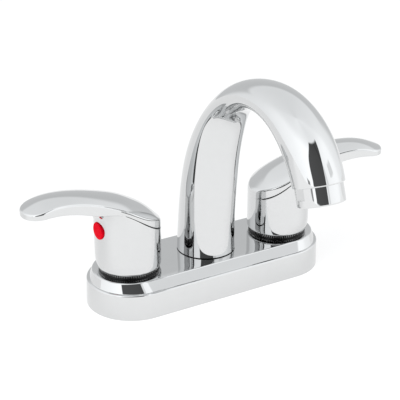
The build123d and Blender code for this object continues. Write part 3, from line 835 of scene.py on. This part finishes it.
shares = np.linspace(0, 1, len(spout_width))
width_at, depth_at = curve_through(shares, spout_width), curve_through(shares, spout_depth)
spout_places, spout_headings = spout_line(spout_steps + 1)


def spout_section(step, half_width, half_depth, shift=0.0):
    """An oval across the middle line at one of its steps: centre, upward direction and half sizes."""
    heading = spout_headings[step]
    centre = np.array((0, *spout_places[step])) + np.array((0, -sin(heading), cos(heading))) * shift
    return centre, (0, cos(heading), sin(heading)), half_width, half_depth


def oval_tube_tree():
    """Tree that lays ovals of given half sizes round a closed line of their centres and joins them."""
    inputs = (("Sides around", "Int"), ("Finish", "Material"))
    tree, wiring, given = new_tree("oval tube along a line", inputs)
    line = wiring.add("GeometryNodeMeshToCurve", given["Geometry"])
    oval = wiring.add("GeometryNodeCurvePrimitiveCircle", given["Sides around"])
    place = wiring.add("GeometryNodeInputPosition")
    kind = "FLOAT_VECTOR"
    oval = wiring.add("GeometryNodeStoreNamedAttribute", oval, None, "round", place, data_type=kind)
    tube = wiring.add("GeometryNodeCurveToMesh", line, oval)

    def kept(name, kind="FLOAT"):
        return wiring.add("GeometryNodeInputNamedAttribute", name, data_type=kind)

    parts = wiring.split(kept("round", kind))
    width = wiring.maths("MULTIPLY", parts["X"], kept("half_width"))
    depth = wiring.maths("MULTIPLY", parts["Y"], kept("half_depth"))
    across = wiring.add("ShaderNodeCombineXYZ", width)
    lift = wiring.scaled(kept("up", kind), depth)
    offset = wiring.add("ShaderNodeVectorMath", across, lift, operation="ADD")
    spot = wiring.add("ShaderNodeVectorMath", kept("centre", kind), offset, operation="ADD")
    moved = wiring.add("GeometryNodeSetPosition", tube, None, spot)
    real = wiring.add("GeometryNodeRealizeInstances", moved)
    wiring.add("NodeGroupOutput", wiring.add("GeometryNodeSetMaterial", real, None, given["Finish"]))
    return tree


def spout_sections():
    """Sections of the oval tube: up its outside, round its end and back down its inside to the foot."""
    shares = np.linspace(0, 1, spout_steps + 1)
    widths, depths = width_at(shares), depth_at(shares)
    length = sum(radius * radians(turn) for radius, turn in spout_arcs)
    last = spout_steps
    sections = [spout_section(s, widths[s], depths[s]) for s in range(last - 2)]
    edge = spout_end_radius
    for angle in np.linspace(0, pi / 2, spout_edge_rows):
        inset = edge * (1 - cos(angle))
        shift = edge * sin(angle) - edge
        sections.append(spout_section(last, widths[last] - inset, depths[last] - inset, shift))
    thread = spout_thread_radius
    sections += [spout_section(last, thread, thread, shift) for shift in (0, -spout_thread_depth)]
    stop = int(last * (1 - spout_thread_depth / length)) - 1
    floor_step = int(np.argmin(abs(spout_places[: last // 2, 1] - spout_floor_heights[0])))
    for s in range(stop, -1, -spout_inner_step):
        sections.append(spout_section(s, widths[s] - spout_wall, depths[s] - spout_wall))
        if s - spout_inner_step < floor_step <= s:
            for height in spout_floor_heights:
                sections.append((np.array((0, 0, height)), (0, 1, 0), spout_tail_hole, spout_tail_hole))
    sections.append(spout_section(0, widths[0] - spout_wall, depths[0] - spout_wall))
    return sections


def spout():
    """The tube that the tree grows from a closed line through the centres of the sections."""
    columns = (np.array(values, float) for values in zip(*spout_sections()))
    centres, ups, half_widths, half_depths = columns
    count = len(centres)
    mesh = bpy.data.meshes.new("spout_line")
    mesh.from_pydata((centres * MM).tolist(), [(i, (i + 1) % count) for i in range(count)], [])
    for name, values in (("centre", centres * MM), ("up", ups)):
        mesh.attributes.new(name, "FLOAT_VECTOR", "POINT").data.foreach_set("vector", values.ravel())
    for name, values in (("half_width", half_widths * MM), ("half_depth", half_depths * MM)):
        mesh.attributes.new(name, "FLOAT", "POINT").data.foreach_set("value", values)
    chrome = finishes["polished_chrome"]
    tube = grown(oval_tube_tree(), mesh, sides_around=spout_columns, finish=chrome)
    add_piece("spout_tube", tube, "spout", ["spout"])


spout()


# Aerator
def aerator_ring():
    """Chrome ring in the spout's mouth, with two spanner flats and a thin lip inside."""
    corner = np.arccos(aerator_flats / 2 / aerator_radius)
    corners = [corner, pi - corner, pi + corner, 2 * pi - corner]
    angles = np.sort(np.concatenate([round_angles(aerator_columns), corners]))
    edge = aerator_edge_radius
    profile = [(aerator_thread_radius, 0), (aerator_radius, 0), (aerator_radius, aerator_flat_height)]
    flat_rings = lathe(profile, angles)
    for ring in flat_rings[1:]:
        ring[:, 0] = np.clip(ring[:, 0], -aerator_flats / 2, aerator_flats / 2)
    profile = [(aerator_radius, aerator_flat_height), (aerator_radius, aerator_height - edge)]
    for angle in np.linspace(0, pi / 2, aerator_edge_rows)[1:]:
        radius = aerator_radius - edge * (1 - cos(angle))
        profile.append((radius, aerator_height - edge * (1 - sin(angle))))
    lip = aerator_bore_radius - aerator_lip
    profile += [
        (lip + aerator_lip_edge, aerator_height), (lip, aerator_height - aerator_lip_edge),
        (lip, aerator_height - aerator_lip), (aerator_bore_radius, aerator_height - aerator_lip),
        (aerator_bore_radius, -aerator_thread_length), (aerator_thread_radius, -aerator_thread_length),
        (aerator_thread_radius, 0),
    ]
    rings = flat_rings + lathe(profile, angles)
    mouth, up, _, _ = spout_section(spout_steps, 0, 0)
    directions = np.array(((1, 0, 0), up, (0, -up[2], up[1])))
    points = mouth + np.concatenate(rings) @ directions
    make_piece(
        "aerator_ring", points, skin(rings), "spout", "polished_chrome", ["aerator_housing"],
        sharp=aerator_sharp_angle,
    )


aerator_ring()


# Teeth and threads
def ridge_tree():
    """Tree that cuts even ridges, straight or wound, into the parts of a wall marked for them."""
    sizes = ("Axis X", "Depth", "Ridges around", "Turns per metre")
    inputs = [(size, "Float") for size in sizes] + [("Finish", "Material"), ("Ridge finish", "Material")]
    tree, wiring, given = new_tree("ridges round a wall", inputs)
    parts = wiring.split(wiring.add("GeometryNodeInputPosition"))
    x = wiring.maths("SUBTRACT", parts["X"], given["Axis X"])
    y = parts["Y"]
    bearing = wiring.maths("DIVIDE", wiring.maths("ARCTAN2", y, x), 2 * pi)
    wound = wiring.maths("MULTIPLY", parts["Z"], given["Turns per metre"])
    phase = wiring.maths("SUBTRACT", wiring.maths("MULTIPLY", bearing, given["Ridges around"]), wound)
    wave = wiring.maths("MULTIPLY", wiring.maths("PINGPONG", phase, 0.5), 2.0)
    marked = wiring.add("GeometryNodeInputNamedAttribute", "ridged", data_type="FLOAT")
    depth = wiring.maths("MULTIPLY", wiring.maths("MULTIPLY", wave, marked), given["Depth"])
    outward = wiring.add("ShaderNodeCombineXYZ", x, y, 0.0)
    outward = wiring.add("ShaderNodeVectorMath", outward, operation="NORMALIZE")
    offset = wiring.scaled(outward, wiring.maths("MULTIPLY", depth, -1.0))
    moved = wiring.add("GeometryNodeSetPosition", given["Geometry"], None, None, offset)
    real = wiring.add("GeometryNodeRealizeInstances", moved)
    dressed = wiring.add("GeometryNodeSetMaterial", real, None, given["Finish"])
    crest = wiring.maths("GREATER_THAN", wiring.maths("SUBTRACT", marked, wave), crest_share)
    dressed = wiring.add("GeometryNodeSetMaterial", dressed, crest, given["Ridge finish"])
    wiring.add("NodeGroupOutput", dressed)
    return tree


ridges = ridge_tree()


def ridged_piece(name, node, side, profile, columns, slot, ridge_slot, **sizes):
    """A turned piece on the base from an outline of (radius, height, how deep its ridges are there)."""
    rings = lathe([(radius, height) for radius, height, _ in profile], round_angles(columns))
    centre_x = sides[side] * handle_offset
    mesh = bpy.data.meshes.new(name)
    mesh.from_pydata(((np.concatenate(rings) + (centre_x, 0, 0)) * MM).tolist(), [], skin(rings))
    marks = np.repeat([float(mark) for _, _, mark in profile], columns)
    mesh.attributes.new("ridged", "FLOAT", "POINT").data.foreach_set("value", marks)
    surfaces = {"finish": finishes[slot], "ridge_finish": finishes[ridge_slot]}
    result = grown(ridges, mesh, axis_x=centre_x * MM, **surfaces, **sizes)
    add_piece(name, result, "base", [node], sharp=ridged_sharp_angle)


def toothed_ring(side):
    """Black ring nut whose flange has fine teeth round its upper edge."""
    rim = ring_radius - ring_edge
    profile = [
        (ring_bore_radius, base_height, 0), (rim, base_height, 0),
        (ring_radius, base_height + ring_edge, 0), (ring_radius, ring_tooth_base, 0),
        (ring_radius, ring_tooth_base + ring_tooth_start, 1), (ring_radius, ring_top - ring_edge, 1),
        (rim, ring_top, 1), (ring_radius - ring_tooth_land, ring_top, 0), (ring_hub_radius, ring_top, 0),
        (ring_hub_radius, ring_lid_top, 0), (ring_lip_bore, ring_lid_top, 0),
        (ring_lip_bore, ring_ceiling, 0), (ring_bore_radius, ring_ceiling, 0),
        (ring_bore_radius, base_height, 0),
    ]
    columns = ring_teeth * columns_per_tooth
    ridged_piece(
        f"toothed_ring_{side}_nut", f"toothed_ring_{side}", side, profile, columns, "black_plastic",
        "glossy_black", depth=ring_tooth_depth * MM, ridges_around=ring_teeth, turns_per_metre=0.0,
    )


def inlet_shank(side):
    """Brass inlet tube with a wound thread below the deck's underside."""
    threads_start = shank_bottom + thread_chamfer
    rows = int((thread_top - threads_start) / thread_pitch * rows_per_turn)
    heights = np.linspace(threads_start, thread_top, rows)
    run_out = np.clip((thread_top - heights) / thread_pitch, 0, 1)
    spigot_top = shank_shoulder + spigot_length
    profile = [(shank_bore_radius, shank_bottom, 0), (shank_radius - thread_chamfer, shank_bottom, 0)]
    profile += [(shank_radius, height, mark) for height, mark in zip(heights, run_out)]
    profile += [
        (shank_radius, shank_shoulder, 0), (spigot_radius, shank_shoulder, 0),
        (spigot_radius, spigot_top, 0), (shank_bore_radius, spigot_top, 0),
        (shank_bore_radius, shank_bottom, 0),
    ]
    ridged_piece(
        f"inlet_shank_{side}_tube", f"inlet_shank_{side}", side, profile, thread_columns, "brass",
        "brass", depth=thread_depth * MM, ridges_around=1.0, turns_per_metre=1 / (thread_pitch * MM),
    )


for side in sides:
    toothed_ring(side)
    inlet_shank(side)


# Studio: a lit tent whose walls' level goes by bearing in degrees from +X
studio_levels = (
    (-180, 1.4), (180, 1.4), (-160, 1.5), (-146, 1.55), (-84, 1.35), (-62, 1.42), (-36, 1.45),
    (-20, 1.28), (0, 1.18), (25, 1.08), (45, 1.0), (75, 1.0), (105, 1.06), (130, 1.12), (155, 1.3),
)
highest_level = 2
ceiling_start = 40
ceiling_full = 85
ceiling_from_walls = 0.4
ceiling_level = 0.62
tent_tint = (0.985, 1.0, 1.012)
card_foot_softness = 4
card_lean_power = 4
# Dark cards of the studio: bearing, lean, half width and its softness, lowest and highest elevation,
# softness of the upper edge, depth
studio_cards = (
    (-118, 58, 25, 2.5, 2, 58, 4, 0.93),
    (60, 0, 38, 25, -4, 27, 9, 0.28),
    (-85, 0, 2.5, 1.5, 2, 58, 4, 0.25),
    (-160, 0, 3.5, 1, -20, 4, 2, 0.75),
    (-56, 0, 7, 4, 24, 32, 5, 0.3),
)


def studio_world():
    """Soft walls and ceiling all round, and the dark cards that chrome needs to show its form."""
    world = bpy.data.worlds.new("studio tent")
    bpy.context.scene.world = world
    world.use_nodes = True
    tree = world.node_tree
    tree.nodes.clear()
    wiring = Wiring(tree)
    maths, ramp = wiring.maths, wiring.ramp
    parts = wiring.split(wiring.add("ShaderNodeTexCoord"))
    azimuth = maths("ARCTAN2", parts["Y"], parts["X"])
    rise = parts["Z"]
    around = tree.nodes.new("ShaderNodeFloatCurve")
    curve = around.mapping.curves[0]
    for number, (bearing, value) in enumerate(studio_levels):
        place = ((bearing + 180) / 360, value / highest_level)
        if number < 2:
            curve.points[number].location = place
        else:
            curve.points.new(*place)
    around.mapping.update()
    tree.links.new(maths("MULTIPLY_ADD", azimuth, 1 / (2 * pi), 0.5), around.inputs["Value"])
    level = maths("MULTIPLY", around.outputs["Value"], highest_level)
    overhead = ramp(rise, sin(radians(ceiling_start)), sin(radians(ceiling_full)))
    ceiling = maths("MULTIPLY_ADD", level, ceiling_from_walls, ceiling_level)
    walls = maths("MULTIPLY", level, maths("SUBTRACT", 1, overhead))
    level = maths("ADD", walls, maths("MULTIPLY", overhead, ceiling))
    for centre, lean, half_width, soft, low, high, top_soft, depth in studio_cards:
        leant = maths("POWER", maths("MAXIMUM", rise, 0), card_lean_power)
        middle = maths("MULTIPLY_ADD", leant, radians(lean), radians(centre))
        aside = maths("ABSOLUTE", maths("WRAP", maths("SUBTRACT", azimuth, middle), pi, -pi))
        across = ramp(aside, radians(half_width + soft), radians(half_width))
        above = ramp(rise, sin(radians(low - card_foot_softness)), sin(radians(low)))
        below = ramp(rise, sin(radians(high + top_soft)), sin(radians(high)))
        share = maths("MULTIPLY", maths("MULTIPLY", across, above), below)
        level = maths("MULTIPLY", level, maths("MULTIPLY_ADD", share, -depth, 1.0))
    tint = wiring.add("ShaderNodeCombineColor", *(maths("MULTIPLY", level, gain) for gain in tent_tint))
    wiring.add("ShaderNodeOutputWorld", wiring.add("ShaderNodeBackground", tint, 1.0))


studio_world()


# Floor: it glows a little, and more towards the light
floor_half_size = 3.0
floor_towards_light = (-0.25, -0.97, 0)
floor_glow_places = (-0.04, 0.07)
floor_glow = (0.7, 0.88)


def studio_floor():
    """A pale floor that runs far behind the tap."""
    half = floor_half_size
    mesh = bpy.data.meshes.new("studio_floor")
    corners = [(-half, -half, 0), (half, -half, 0), (half, half, 0), (-half, half, 0)]
    mesh.from_pydata(corners, [], [(0, 1, 2, 3)])
    material = finish("pale floor", grey(0.32), grey(0.31), 0, (0.9, 0.95), 20, specular=0.1)
    nodes, links = material.node_tree.nodes, material.node_tree.links
    shader = nodes["Principled BSDF"]
    shader.inputs["Emission Color"].default_value = (1, 1, 1, 1)
    towards_light = nodes.new("ShaderNodeVectorMath")
    towards_light.operation = "DOT_PRODUCT"
    towards_light.inputs[1].default_value = floor_towards_light
    links.new(nodes["Texture Coordinate"].outputs["Object"], towards_light.inputs[0])
    glow = nodes.new("ShaderNodeMapRange")
    glow.interpolation_type = "SMOOTHERSTEP"
    glow.inputs["From Min"].default_value, glow.inputs["From Max"].default_value = floor_glow_places
    glow.inputs["To Min"].default_value, glow.inputs["To Max"].default_value = floor_glow
    links.new(towards_light.outputs["Value"], glow.inputs["Value"])
    links.new(glow.outputs["Result"], shader.inputs["Emission Strength"])
    mesh.materials.append(material)
    floor = bpy.data.objects.new("studio_floor", mesh)
    bpy.context.scene.collection.objects.link(floor)


studio_floor()

# Camera at the photograph's viewing angle
camera_azimuth = -30.55
camera_elevation = 23.81
camera_roll = 0.12
camera_distance = 585.7
camera_target = (-3.95, 0.0, 51.88)
focal_length = 90.92
sensor_width = 36
axis_offset = (-0.00025, -0.001)
clip_distances = (0.01, 20)


def studio_camera():
    """The camera, turned about its own axis by the photograph's small roll."""
    azimuth, elevation = radians(camera_azimuth), radians(camera_elevation)
    back = Vector((sin(azimuth) * cos(elevation), -cos(azimuth) * cos(elevation), sin(elevation)))
    right = Vector((0, 0, 1)).cross(back).normalized()
    up = back.cross(right)
    roll = radians(camera_roll)
    tilted = right * cos(roll) + up * sin(roll)
    up = back.cross(tilted)
    data = bpy.data.cameras.new("camera")
    data.lens = focal_length
    data.sensor_width = sensor_width
    data.shift_x, data.shift_y = axis_offset
    data.clip_start, data.clip_end = clip_distances
    camera = bpy.data.objects.new("camera", data)
    place = (Vector(camera_target) + back * camera_distance) * MM
    camera.matrix_world = Matrix.Translation(place) @ Matrix((tilted, up, back)).transposed().to_4x4()
    bpy.context.scene.collection.objects.link(camera)
    bpy.context.scene.camera = camera


studio_camera()
bpy.context.scene.view_settings.view_transform = "Standard"
